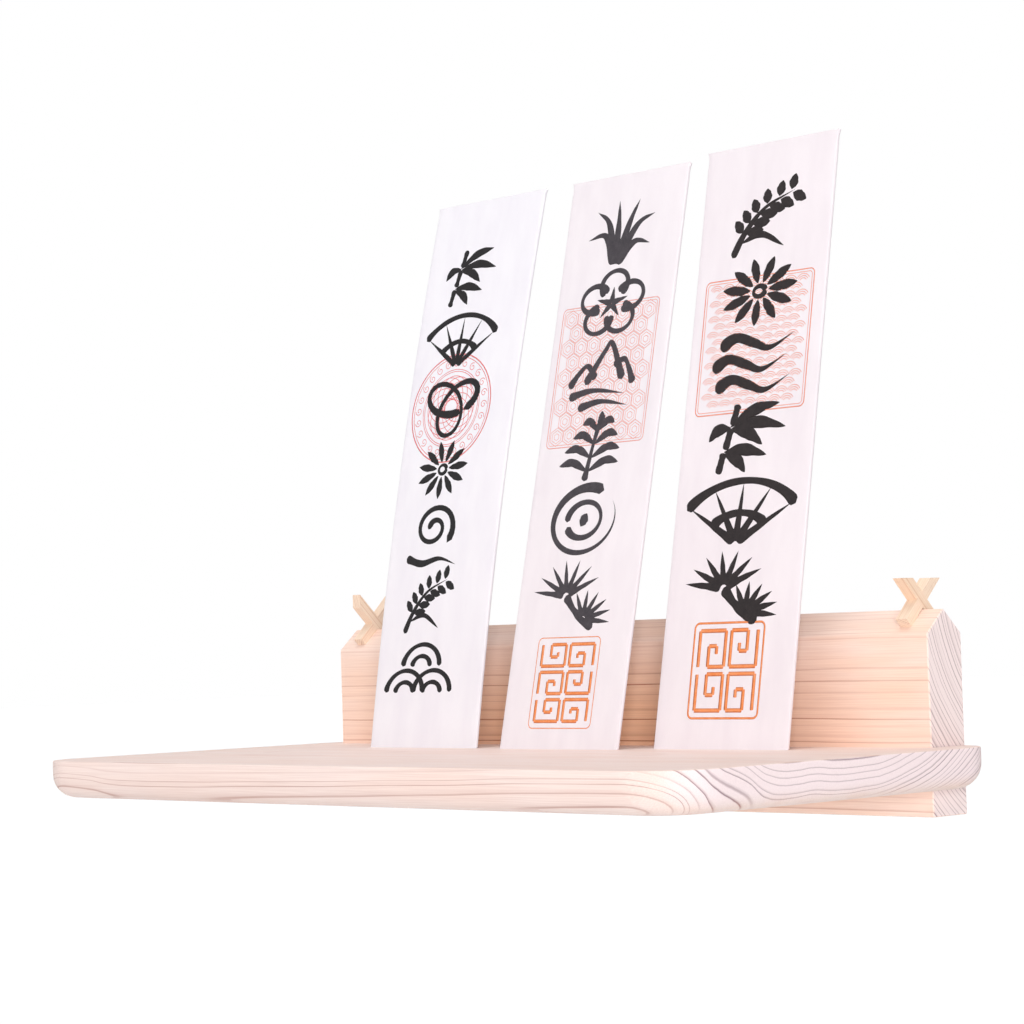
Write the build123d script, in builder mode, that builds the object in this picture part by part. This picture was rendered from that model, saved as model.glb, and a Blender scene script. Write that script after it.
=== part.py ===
# Household shrine shelf for a wall: a round-cornered shelf board let in round a house-shaped
# back board, a pair of crossed laths astride the ridge near each end, and three paper-wrapped
# cards that stand on the shelf and lean back to the wall.
# Frame: +X along the shelf, -Y to the room, +Z up. The wall is y = 0 and the shelf's top is z = 0.
from build123d import *
from math import cos, radians, sin, tan
import os

os.makedirs("parts", exist_ok=True)

# Shelf board
shelf_length = 363.0
shelf_depth = 181.5
shelf_thickness = 15.5
shelf_front_corner_r = 24.0
shelf_rear_corner_r = 17.0
shelf_under_round = 9.7
shelf_top_ease = 0.6
notch_end_gap = 0.25

# Back board
back_end_inset = 15.5
back_thickness = 21.0
back_rise = 51.7
back_drop = 25.9
roof_pitch = 41.5
board_ease = 0.4

# Screws that hold the shelf to the back board, and holes for the screws into the wall
shelf_screw_end_inset = 46.0
shelf_screw_length = 45.0
shelf_screw_r = 1.9
screw_head_r = 3.9
screw_tip_length = 4.0
screw_drive_length = 4.2
screw_drive_width = 0.9
screw_drive_depth = 1.3
screw_gap = 0.3
head_recess = 1.0
wall_hole_end_inset = 78.0
wall_hole_z = 26.0
wall_hole_r = 2.25
wall_sink_r = 4.6

# Crossed laths
lath_width = 4.2
lath_thickness = 5.1
lath_lean = 45.5
left_cross_height = 2.6
right_cross_height = 3.5
leg_length = 12.4
finial_end_inset = 12.0
level_tip_rise = 8.2
plumb_tip_reach = 10.3

# Paper-wrapped cards
card_height = 245.0
core_thickness = 1.0
paper_thickness = 0.3
seam_width = 9.0
flap_height = 11.0
card_wall_gap = 0.2

# name, centre along the shelf, width at the foot, width at the head, distance of the foot from the wall
cards = [
    ("left_card", -77.2, 66.0, 69.4, 51.7),
    ("middle_card", 6.1, 66.5, 66.8, 53.9),
    ("right_card", 84.3, 68.4, 68.4, 44.9),
]

# Derived sizes
back_length = shelf_length - 2 * back_end_inset
half_back = back_length / 2
finial_x = half_back - finial_end_inset
shelf_screw_spacing = half_back - shelf_screw_end_inset
wall_hole_spacing = back_length - 2 * wall_hole_end_inset
ridge_y = -back_thickness / 2
eave_z = back_rise - back_thickness / 2 * tan(radians(roof_pitch))
notch_length = back_length + 2 * notch_end_gap
shelf_screw_z = -shelf_thickness / 2
card_thickness = core_thickness + 2 * paper_thickness
sink_angle = 90
back_outline = [
    (0, -back_drop),
    (-back_thickness, -back_drop),
    (-back_thickness, eave_z),
    (ridge_y, back_rise),
    (0, eave_z),
]

# Back board: one plank sawn to a ridge along its top
with BuildPart() as back_board:
    with BuildSketch(Plane.YZ):
        with BuildLine():
            Polyline(back_outline, close=True)
        make_face()
    extrude(amount=half_back, both=True)
    chamfer(back_board.edges(), board_ease)
    rear_face = Plane(origin=(0, 0, shelf_screw_z), x_dir=(1, 0, 0), z_dir=(0, 1, 0))
    with Locations(rear_face):
        with GridLocations(shelf_screw_spacing, 0, 3, 1):
            CounterSinkHole(
                radius=shelf_screw_r + screw_gap,
                counter_sink_radius=screw_head_r + head_recess + screw_gap,
                depth=back_thickness,
                counter_sink_angle=sink_angle,
            )
    front_face = Plane(origin=(0, -back_thickness, wall_hole_z), x_dir=(1, 0, 0), z_dir=(0, -1, 0))
    with Locations(front_face):
        with GridLocations(wall_hole_spacing, 0, 2, 1):
            CounterSinkHole(
                radius=wall_hole_r,
                counter_sink_radius=wall_sink_r,
                depth=back_thickness,
                counter_sink_angle=sink_angle,
            )
back_board.part.label = "back_board"
export_step(back_board.part, "parts/back_board.step")

# Shelf board: corners rounded in plan, a large round under its edge, notched round the back board
with BuildPart() as shelf_board:
    with BuildSketch(Plane((0, -shelf_depth / 2, -shelf_thickness))) as shelf_plan:
        Rectangle(shelf_length, shelf_depth)
        fillet(shelf_plan.vertices().group_by(Axis.Y)[0], shelf_front_corner_r)
        fillet(shelf_plan.vertices().group_by(Axis.Y)[-1], shelf_rear_corner_r)
    extrude(amount=shelf_thickness)
    fillet(shelf_board.faces().sort_by(Axis.Z)[0].edges(), shelf_under_round)
    fillet(shelf_board.faces().sort_by(Axis.Z)[-1].edges(), shelf_top_ease)
    with BuildSketch(Plane.XY.offset(-shelf_thickness)):
        with Locations((0, -back_thickness / 2)):
            Rectangle(notch_length, back_thickness)
    extrude(amount=shelf_thickness, mode=Mode.SUBTRACT)
    notch_face = Plane(origin=(0, -back_thickness, shelf_screw_z), x_dir=(1, 0, 0), z_dir=(0, 1, 0))
    with Locations(notch_face):
        with GridLocations(shelf_screw_spacing, 0, 3, 1):
            Hole(
                radius=shelf_screw_r + screw_gap,
                depth=shelf_screw_length + head_recess + screw_gap - back_thickness,
            )
shelf_board.part.label = "shelf_board"
export_step(shelf_board.part, "parts/shelf_board.step")

# Shelf screws, driven from the rear through the back board into the shelf's edge
for side, screw_x in (("left", -shelf_screw_spacing), ("middle", 0), ("right", shelf_screw_spacing)):
    head_plane = Plane(origin=(screw_x, -head_recess, shelf_screw_z), x_dir=(1, 0, 0), z_dir=(0, 1, 0))
    with BuildPart() as shelf_screw:
        with BuildSketch(Plane(origin=head_plane.origin, x_dir=(1, 0, 0), z_dir=(0, 0, 1))):
            with BuildLine():
                Polyline(
                    (0, 0),
                    (screw_head_r, 0),
                    (shelf_screw_r, shelf_screw_r - screw_head_r),
                    (shelf_screw_r, screw_tip_length - shelf_screw_length),
                    (0, -shelf_screw_length),
                    close=True,
                )
            make_face()
        revolve(axis=Axis(head_plane.origin, (0, 1, 0)))
        with BuildSketch(head_plane):
            Rectangle(screw_drive_length, screw_drive_width)
            Rectangle(screw_drive_width, screw_drive_length)
        extrude(amount=-screw_drive_depth, mode=Mode.SUBTRACT)
    shelf_screw.part.label = f"{side}_shelf_screw"
    export_step(shelf_screw.part, f"parts/{side}_shelf_screw.step")


def lath_outline(cross_z, facing, tip_cut):
    """Corners of one lath in the Y-Z plane, whose middle line passes the ridge at the height cross_z.

    Its top leans to the room for facing -1 and to the wall for 1. The foot is cut square. The tip is
    cut level at level_tip_rise above the crossing, or plumb at plumb_tip_reach to the side of it.
    """
    rise = cos(radians(lath_lean))
    run = sin(radians(lath_lean)) * facing
    corners = []
    for side in (-0.5, 0.5):
        edge_y = ridge_y + side * lath_width * rise
        edge_z = cross_z - side * lath_width * run
        if tip_cut == "level":
            reach = (cross_z + level_tip_rise - edge_z) / rise
        else:
            reach = (ridge_y + plumb_tip_reach * facing - edge_y) / run
        foot = (edge_y - leg_length * run, edge_z - leg_length * rise)
        tip = (edge_y + reach * run, edge_z + reach * rise)
        corners += [foot, tip] if side < 0 else [tip, foot]
    return corners


# Crossed laths: half-lapped where they cross, with their legs bedded on the roof's two slopes
for side, cross_x, cross_height, tip_cut in (
    ("left", -finial_x, left_cross_height, "plumb"),
    ("right", finial_x, right_cross_height, "level"),
):
    cross_z = back_rise + cross_height
    for name, facing in (("front", -1), ("rear", 1)):
        left_side = Plane.YZ.offset(cross_x - lath_thickness / 2)
        lapped_side = left_side.offset(lath_thickness / 2 if facing > 0 else 0)
        with BuildPart() as lath:
            with BuildSketch(left_side):
                with BuildLine():
                    Polyline(lath_outline(cross_z, facing, tip_cut), close=True)
                make_face()
            extrude(amount=lath_thickness)
            with BuildSketch(left_side):
                with BuildLine():
                    Polyline(back_outline, close=True)
                make_face()
            extrude(amount=lath_thickness, mode=Mode.SUBTRACT)
            with BuildSketch(lapped_side):
                with BuildLine():
                    Polyline(lath_outline(cross_z, -facing, tip_cut), close=True)
                make_face()
            extrude(amount=lath_thickness / 2, mode=Mode.SUBTRACT)
        lath.part.label = f"{side}_{name}_lath"
        export_step(lath.part, f"parts/{side}_{name}_lath.step")

# Cards: a thin wooden core in a folded paper wrap, with the sheet's seam and top flap at the back
for name, card_x, foot_width, head_width, foot_distance in cards:
    lean = (foot_distance - card_wall_gap - paper_thickness) / card_height
    up = Vector(0, lean, (1 - lean**2) ** 0.5)
    card_back = Plane(
        origin=(card_x, -foot_distance, 0),
        x_dir=(1, 0, 0),
        z_dir=Vector(1, 0, 0).cross(up),
    )
    core_outline = [
        (-foot_width / 2 + paper_thickness, paper_thickness),
        (foot_width / 2 - paper_thickness, paper_thickness),
        (head_width / 2 - paper_thickness, card_height - paper_thickness),
        (-head_width / 2 + paper_thickness, card_height - paper_thickness),
    ]
    with BuildPart() as card_core:
        with BuildSketch(card_back.offset(paper_thickness)):
            with BuildLine():
                Polyline(core_outline, close=True)
            make_face()
        extrude(amount=core_thickness)
    card_core.part.label = f"{name}_core"
    export_step(card_core.part, f"parts/{name}_core.step")

    with BuildPart() as card_wrap:
        with BuildSketch(card_back):
            with BuildLine():
                Polyline(
                    (-foot_width / 2, 0),
                    (foot_width / 2, 0),
                    (head_width / 2, card_height),
                    (-head_width / 2, card_height),
                    close=True,
                )
            make_face()
        extrude(amount=card_thickness)
        with BuildSketch(card_back.offset(paper_thickness)):
            with BuildLine():
                Polyline(core_outline, close=True)
            make_face()
        extrude(amount=core_thickness, mode=Mode.SUBTRACT)
        with BuildSketch(card_back):
            with Locations((seam_width, card_height / 2)):
                Rectangle(seam_width, card_height - 2 * seam_width)
            with Locations((0, card_height - flap_height / 2)):
                Rectangle(min(foot_width, head_width) - seam_width, flap_height)
        extrude(amount=-paper_thickness)
    card_wrap.part.label = f"{name}_wrap"
    export_step(card_wrap.part, f"parts/{name}_wrap.step")
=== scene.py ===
import logging
from dataclasses import dataclass, replace
from enum import Enum, member
from functools import cached_property, partial

import bmesh
import bpy
import numpy as np
from mathutils import Matrix, Vector


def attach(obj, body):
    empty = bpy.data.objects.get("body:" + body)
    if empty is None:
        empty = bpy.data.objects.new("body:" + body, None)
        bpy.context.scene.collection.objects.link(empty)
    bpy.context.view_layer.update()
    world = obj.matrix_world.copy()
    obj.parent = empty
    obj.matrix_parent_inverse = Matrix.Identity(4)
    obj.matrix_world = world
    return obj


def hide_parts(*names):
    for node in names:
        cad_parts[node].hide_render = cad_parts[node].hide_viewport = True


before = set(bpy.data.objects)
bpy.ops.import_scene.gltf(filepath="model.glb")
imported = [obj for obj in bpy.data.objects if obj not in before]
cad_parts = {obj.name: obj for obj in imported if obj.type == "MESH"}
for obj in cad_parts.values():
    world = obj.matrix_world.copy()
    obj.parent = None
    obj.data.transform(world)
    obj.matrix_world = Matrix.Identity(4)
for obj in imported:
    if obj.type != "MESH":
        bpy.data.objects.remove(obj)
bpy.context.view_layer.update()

MM = 0.001
WHITE = (1.0, 1.0, 1.0, 1.0)
Socket = bpy.types.NodeSocket
Pair = tuple[float, float]
Triple = tuple[float, float, float]
Colour = Triple
Guide = tuple[Pair, ...]
Surface = tuple[np.ndarray, np.ndarray]
log = logging.getLogger("shrine_shelf")


def linear(colour: Colour) -> tuple[float, float, float, float]:
    """Turn a colour as a screen shows it into the linear one that shaders take.

    Args:
        colour: red, green and blue from 0 to 255.

    Returns:
        Linear red, green and blue, and an alpha of 1.
    """
    share = np.array(colour, float) / 255.0
    value = np.where(share <= 0.04045, share / 12.92, ((share + 0.055) / 1.055) ** 2.4)
    return (float(value[0]), float(value[1]), float(value[2]), 1.0)


class Value:
    """A number or a vector that a shader works out, so that a formula reads as one."""

    def __init__(self, tree: "Tree", socket: Socket) -> None:
        """Hold the socket that gives the value, and its tree."""
        self.tree = tree
        self.socket = socket

    def __add__(self, other: "Number") -> "Value":
        """The sum of this number and another."""
        return self.tree.math("ADD", self, other)

    def __sub__(self, other: "Number") -> "Value":
        """This number less another."""
        return self.tree.math("SUBTRACT", self, other)

    def __rsub__(self, other: float) -> "Value":
        """A plain number less this one."""
        return self.tree.math("SUBTRACT", other, self)

    def __mul__(self, other: "Number") -> "Value":
        """The product of this number and another."""
        return self.tree.math("MULTIPLY", self, other)

    def __truediv__(self, other: "Number") -> "Value":
        """This number over another."""
        return self.tree.math("DIVIDE", self, other)


Number = float | Value


class Tree:
    """A node tree, with short calls for the nodes that the finishes and the studio share."""

    def __init__(self, tree: bpy.types.NodeTree) -> None:
        """Take over a node tree and empty it."""
        self.tree = tree
        tree.nodes.clear()

    def feed(self, target: Socket, value: object) -> None:
        """Give an input its value, or wire it where the value is worked out.

        Args:
            target: the input.
            value: a plain value, a socket or a Value.
        """
        if isinstance(value, Value):
            value = value.socket
        if isinstance(value, Socket):
            self.tree.links.new(value, target)
        else:
            target.default_value = value

    def node(self, kind: str, inputs: dict | None = None, **settings: object) -> bpy.types.Node:
        """Add a node.

        Args:
            kind: its type, less the ShaderNode in front.
            inputs: what each input is fed, by name or number.
            settings: its properties, which are set first.

        Returns:
            The new node.
        """
        made = self.tree.nodes.new(f"ShaderNode{kind}")
        for key, value in settings.items():
            setattr(made, key, value)
        for key, value in (inputs or {}).items():
            self.feed(made.inputs[key], value)
        return made

    def math(self, operation: str, *terms: Number) -> Value:
        """Work out one Math node."""
        made = self.node("Math", dict(enumerate(terms)), operation=operation)
        return Value(self, made.outputs[0])

    def vector(self, operation: str, *terms: object) -> Value:
        """Work out one Vector Math node."""
        made = self.node("VectorMath", dict(enumerate(terms)), operation=operation)
        return Value(self, made.outputs["Value" if operation in ("LENGTH", "DOT_PRODUCT") else "Vector"])

    def mapped(
        self, source: Value, scale: Triple, turn: Triple = (0, 0, 0), shift: Triple = (0, 0, 0)
    ) -> Value:
        """Scale, then turn, then shift a vector."""
        inputs = {"Vector": source, "Scale": scale, "Rotation": turn, "Location": shift}
        return Value(self, self.node("Mapping", inputs).outputs["Vector"])

    def noise(
        self, source: Value, scale: float | Triple, detail: float = 2.0, rough: float = 0.5,
        output: str = "Fac",
    ) -> Value:
        """Smooth noise over a vector.

        Args:
            source: the vector.
            scale: how fine the noise is, as one number or as one for each axis.
            detail: how many finer layers it has.
            rough: how strong they are.
            output: Fac for one value or Color for three.

        Returns:
            The noise, from 0 to 1.
        """
        if isinstance(scale, tuple):
            source, scale = self.mapped(source, scale), 1.0
        inputs = {"Vector": source, "Scale": scale, "Detail": detail, "Roughness": rough}
        return Value(self, self.node("TexNoise", inputs).outputs[output])

    def ramp(self, value: Value, *stops: Pair) -> Value:
        """Bend a value from 0 to 1 through grey stops.

        Args:
            value: where to read.
            stops: the place and the level of each stop, from left to right.

        Returns:
            The level at that place.
        """
        made = self.node("ValToRGB", {"Fac": value})
        elements = made.color_ramp.elements
        while len(elements) < len(stops):
            elements.new(0.5)
        for element, (place, level) in zip(elements, stops):
            element.position = place
            element.color = (level, level, level, 1)
        return Value(self, made.outputs["Color"])

    def curve(self, value: Value, points: Guide) -> Value:
        """Read a value off a smooth curve through guide points.

        Args:
            value: where to read, in the points' own units.
            points: pairs of place and height, from left to right.

        Returns:
            The curve's height at that place, held level beyond its ends.
        """
        places, heights = zip(*points)
        low, high = min(heights), max(heights)
        span = places[-1] - places[0]
        made = self.node("FloatCurve", {"Value": (value - places[0]) / span})
        line = made.mapping.curves[0]
        while len(line.points) < len(points):
            line.points.new(0.5, 0.5)
        for point, (place, height) in zip(line.points, points):
            point.location = ((place - places[0]) / span, (height - low) / (high - low))
        made.mapping.update()
        return Value(self, made.outputs["Value"]) * (high - low) + low

    def mix(self, share: Number, first: Value | Colour, second: Value | Colour) -> Value:
        """Mix two colours, each a value or a screen colour, by a share from 0 to 1."""
        ends = [linear(end) if isinstance(end, tuple) else end for end in (first, second)]
        inputs = {"Factor": share, "A": ends[0], "B": ends[1]}
        return Value(self, self.node("Mix", inputs, data_type="RGBA").outputs["Result"])

    def seen_rays(self) -> Value:
        """Tell rays that are seen from rays that light.

        Returns:
            1 for a ray from the camera, a mirror or glass, and 0 for the rest.
        """
        rays = self.node("LightPath").outputs
        share = Value(self, rays["Is Camera Ray"])
        for name in ("Is Glossy Ray", "Is Transmission Ray"):
            share = self.math("MAXIMUM", share, rays[name])
        return share


class Graph(Tree):
    """A new material: its Principled shader, its output and its Object coordinates."""

    def __init__(self, name: str) -> None:
        """Start a material of that name.

        Args:
            name: the material's name.
        """
        self.material = bpy.data.materials.new(name)
        self.material.use_nodes = True
        super().__init__(self.material.node_tree)
        self.shader = self.node("BsdfPrincipled")
        self.output = self.node("OutputMaterial", {"Surface": self.shader.outputs["BSDF"]})
        self.coords = Value(self, self.node("TexCoord").outputs["Object"])

    def place(self, turn: Triple = (0, 0, 0)) -> Value:
        """Object coordinates in millimetres, turned about the origin."""
        return self.mapped(self.coords, (1 / MM, 1 / MM, 1 / MM), turn)

    def surface(self, **inputs: object) -> None:
        """Feed the shader's inputs, named as they are with a _ for each space."""
        for name, value in inputs.items():
            self.feed(self.shader.inputs[name.replace("_", " ")], value)

    def relief(self, height: Value, depth: float) -> None:
        """Give the surface fine relief: height from 0 to 1 times a depth in metres."""
        bump = self.node("Bump", {"Strength": 1.0, "Distance": depth, "Height": height})
        self.surface(Normal=bump.outputs["Normal"])


class RingShape(Enum):
    """How the yearly rings lie in a board's cross-section."""

    VALLEY = "sagging lines, steep at the front edge and gentle at the rear"
    CIRCLES = "circles round a pith that lies outside the board"


@dataclass(frozen=True)
class WoodFinish:
    """Planed cypress whose rings run through the solid, so faces and end grain agree.

    The ring number n is a function of the place in the cross-section, in millimetres. A dark thin
    line stands where n passes a whole number, and every ring has its own width and strength. The
    grain runs along X, or up and to the wall at lean_deg from upright where that is given. Where it
    is given, a patch low in the middle of the board is painted warmer and darker, with bolder lines:
    painted shade where the cards shade the board, partly a warmer heartwood tone.
    """

    name: str
    pale: Colour
    line: Colour
    end_pale: Colour
    end_line: Colour
    warm: Colour
    shape: RingShape = RingShape.CIRCLES
    spacing: float = 2.2
    pith: Pair = (0.0, 0.0)
    lean_deg: float | None = None
    waviness: float = 0.5
    line_strength: float = 0.8
    cut_strength: float = 0.95
    contrast: float = 1.0
    uneven: float = 1.2
    calm_top: float = 0.0
    # A patch low in the board's middle, this wide and this tall in millimetres, is painted warmer and darker
    # with bolder lines: painted shade where the cards shade the board, partly a warmer heartwood tone.
    heartwood_and_shade: float = 0.0
    heartwood_and_shade_size: Pair = (190.0, 44.0)
    floor_level: float = -12.0
    rear_spacing: float = 2.2
    sag: Guide = ()
    drift: Guide = ()
    front_rings: Guide = ()
    # Darkness across one ring, from early wood to late wood, on the faces and on the end grain.
    face_ring: Guide = ((0.0, 0.3), (0.05, 0.0), (0.7, 0.05), (0.87, 0.3), (0.935, 1.0), (1.0, 0.9))
    cut_ring: Guide = ((0.0, 0.4), (0.06, 0.0), (0.7, 0.03), (0.87, 0.45), (0.935, 1.0), (1.0, 0.9))
    face_fibre: float = 0.16
    cut_fibre: float = 0.10
    relief_depth: float = 0.06 * MM

    def ring_number(self, graph: Graph, place: Value) -> Value:
        """Number of rings from the pith outwards at a place in millimetres.

        Args:
            graph: the material that is being built.
            place: the place with X along the grain.

        Returns:
            A value that grows by 1 with each ring, towards the bark.
        """
        parts = graph.node("SeparateXYZ", {0: place}).outputs
        along, across, height = (Value(graph, part) for part in parts)
        if self.shape is RingShape.CIRCLES:
            offset_y, offset_z = across - self.pith[0], height - self.pith[1]
            return graph.math("SQRT", offset_y * offset_y + offset_z * offset_z) / self.spacing
        level = height - (graph.curve(across, self.sag) + graph.curve(along, self.drift))
        depth = self.floor_level - level
        front = graph.curve(level, self.front_rings)
        side = graph.math("SMOOTH_MIN", 1.0, graph.math("MAXIMUM", across * 0.04 + 5.0, 0.0), 0.1)
        deep = depth / self.rear_spacing * side + front * (1.0 - side)
        below = graph.math("LESS_THAN", level, self.floor_level)
        return deep * below + depth / self.spacing * (1.0 - below)

    def stray(self, graph: Graph, place: Value, scale: Triple, reach: float) -> Value:
        """How far the rings stray sideways: smooth noise, half the reach to each side."""
        sway = graph.vector("SUBTRACT", graph.noise(place, scale, output="Color"), (0.5, 0.5, 0.5))
        return graph.vector("MULTIPLY", sway, (0, reach * self.waviness, reach * self.waviness))

    def build(self) -> bpy.types.Material:
        """Make the material.

        Returns:
            A wood material that reads Object coordinates.
        """
        graph = Graph(self.name)
        lean = np.radians(self.lean_deg or 0.0)
        along_x = self.lean_deg is None
        grain = (1.0, 0.0, 0.0) if along_x else (0.0, float(np.sin(lean)), float(np.cos(lean)))
        place = graph.place((0, 0, 0) if along_x else (lean, np.pi / 2, 0))
        slow = self.stray(graph, place, (0.006, 0.035, 0.035), 6.0)
        quick = self.stray(graph, place, (0.02, 0.3, 0.3), 1.0)
        even = self.ring_number(graph, graph.vector("ADD", place, graph.vector("ADD", slow, quick)))
        season = graph.node(
            "TexNoise", {"W": even * 0.7, "Scale": 1.0, "Detail": 1.0}, noise_dimensions="1D"
        )
        number = Value(graph, season.outputs[0]) * self.uneven + even
        own = graph.node("TexWhiteNoise", {"W": graph.math("FLOOR", number)}, noise_dimensions="1D")
        ring = Value(graph, own.outputs["Value"])
        within = graph.math("FRACT", number)
        weight = graph.math("POWER", ring, self.contrast) * 0.8 + 0.2
        fading = graph.ramp(graph.noise(place, (0.014, 0.2, 0.2)), (0.3, 0.55), (0.65, 1.0))
        line = graph.ramp(within, *self.face_ring) * weight * self.line_strength * fading
        cut_line = graph.ramp(within, *self.cut_ring) * (ring * 0.5 + 0.5) * self.cut_strength
        fibre = graph.noise(place, (0.03, 3.0, 3.0), 3.0, 0.6)
        streak = graph.ramp(fibre, (0.35, 0.0), (0.65, 1.0))
        warm_tone_and_shade = graph.ramp(graph.noise(place, (0.012, 0.07, 0.07)), (0.4, 0.0), (0.75, 1.0)) * 0.5

        facing = graph.node("NewGeometry").outputs["Normal"]
        along = graph.math("ABSOLUTE", graph.vector("DOT_PRODUCT", facing, grain))
        if self.calm_top > 0:
            upright = graph.math("ABSOLUTE", graph.vector("DOT_PRODUCT", facing, (0.0, 0.0, 1.0)))
            line = line * (graph.ramp(upright, (0.8, 0.0), (1.0, 1.0)) * -self.calm_top + 1.0)
        # Painted shade: a patch low in the board's middle, where the cards shade it, is made warmer and
        # darker and its lines bolder; partly it is a warmer heartwood tone.
        if self.heartwood_and_shade > 0:
            scale = (1 / MM / self.heartwood_and_shade_size[0], 0.0, 1 / MM / self.heartwood_and_shade_size[1])
            away = graph.vector("LENGTH", graph.mapped(graph.coords, scale, shift=(0.05, 0.0, -0.15)))
            inner = graph.ramp(away, (0.25, 1.0), (1.0, 0.0))
            warm_tone_and_shade = graph.math("MAXIMUM", warm_tone_and_shade, inner * self.heartwood_and_shade)
            line = graph.math("MINIMUM", line * (inner * 1.1 + 0.7), 1.0)
        face = graph.mix(line, graph.mix(warm_tone_and_shade, self.pale, self.warm), self.line)
        face = graph.mix(streak * self.face_fibre, face, self.line)
        cut = graph.mix(cut_line, self.end_pale, self.end_line)
        cut = graph.mix(streak * self.cut_fibre, cut, self.end_line)
        tone = graph.mix(graph.ramp(along, (0.55, 0.0), (0.95, 1.0)), face, cut)
        graph.surface(Base_Color=tone, Roughness=streak * 0.14 + 0.5, Specular_IOR_Level=0.3)
        graph.relief(line * 0.6 + fibre * 0.4, self.relief_depth)
        return graph.material


@dataclass(frozen=True)
class PaperFinish:
    """Thick handmade paper: cloudy formation, a few fibres and a soft tooth."""

    name: str
    sheet: Colour
    shade: Colour
    relief_depth: float = 0.04 * MM

    def build(self) -> bpy.types.Material:
        """Make the material.

        Returns:
            A paper material that reads Object coordinates.
        """
        graph = Graph(self.name)
        place = graph.place()
        cloud = graph.noise(place, (0.11, 0.11, 0.02), 3.0, 0.55)
        tooth = graph.noise(place, 3.2, 3.0, 0.65)
        hair = graph.noise(graph.mapped(place, (2.6, 2.6, 0.35), (0.0, 0.6, 0.0)), 1.0, 1.0)
        tone = graph.mix(graph.ramp(cloud, (0.35, 0.0), (0.7, 0.8)), self.sheet, self.shade)
        tone = graph.mix(graph.ramp(hair, (0.66, 0.0), (0.74, 1.0)) * 0.4, tone, self.shade)
        graph.surface(Base_Color=tone, Roughness=0.82, Specular_IOR_Level=0.2)
        graph.relief(tooth * 0.6 + cloud * 0.4, self.relief_depth)
        return graph.material


@dataclass(frozen=True)
class SteelFinish:
    """Zinc-plated steel with turned scratches."""

    name: str
    bright: Colour
    dull: Colour
    relief_depth: float = 0.02 * MM

    def build(self) -> bpy.types.Material:
        """Make the material.

        Returns:
            A steel material that reads Object coordinates.
        """
        graph = Graph(self.name)
        place = graph.place()
        tone = graph.mix(graph.noise(place, 0.9, 3.0, 0.6), self.bright, self.dull)
        scratch = graph.noise(place, (1.2, 14.0, 1.2))
        graph.surface(Base_Color=tone, Roughness=scratch * 0.25 + 0.25, Metallic=1.0)
        graph.relief(scratch, self.relief_depth)
        return graph.material


@dataclass(frozen=True)
class InkFinish:
    """Brush or stamp ink that has dried into paper, with paler patches where it ran thin."""

    name: str
    deep: Colour
    thin: Colour
    patch: float = 0.35
    relief_depth: float = 0.02 * MM

    def build(self) -> bpy.types.Material:
        """Make the material.

        Returns:
            An ink material that reads Object coordinates.
        """
        graph = Graph(self.name)
        place = graph.place()
        run = graph.ramp(graph.noise(place, 0.35, 3.0, 0.6), (0.35, 0.0), (0.75, 1.0))
        grain = graph.ramp(graph.noise(place, 2.6, 2.0, 0.6), (0.45, 0.0), (0.8, 1.0))
        dry = graph.math("MINIMUM", run * self.patch + grain * self.patch, 1.0)
        tone = graph.mix(dry, self.deep, self.thin)
        graph.surface(Base_Color=tone, Roughness=0.6, Specular_IOR_Level=0.25)
        graph.relief(grain, self.relief_depth)
        return graph.material


@dataclass(frozen=True)
class Lamp:
    """A square soft lamp: its name, its place in metres, its width and its power in watts."""

    name: str
    place: Triple
    width: float
    watts: float

    def hang(self, target: Triple) -> None:
        """Hang the lamp so that it faces a target.

        Args:
            target: a place in metres.
        """
        data = bpy.data.lights.new(self.name, "AREA")
        data.shape = "SQUARE"
        data.size = self.width
        data.energy = self.watts
        lamp = bpy.data.objects.new(self.name, data)
        lamp.location = self.place
        sight = Vector(target) - Vector(self.place)
        lamp.rotation_euler = sight.to_track_quat("-Z", "Y").to_euler()
        bpy.context.scene.collection.objects.link(lamp)


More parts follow.
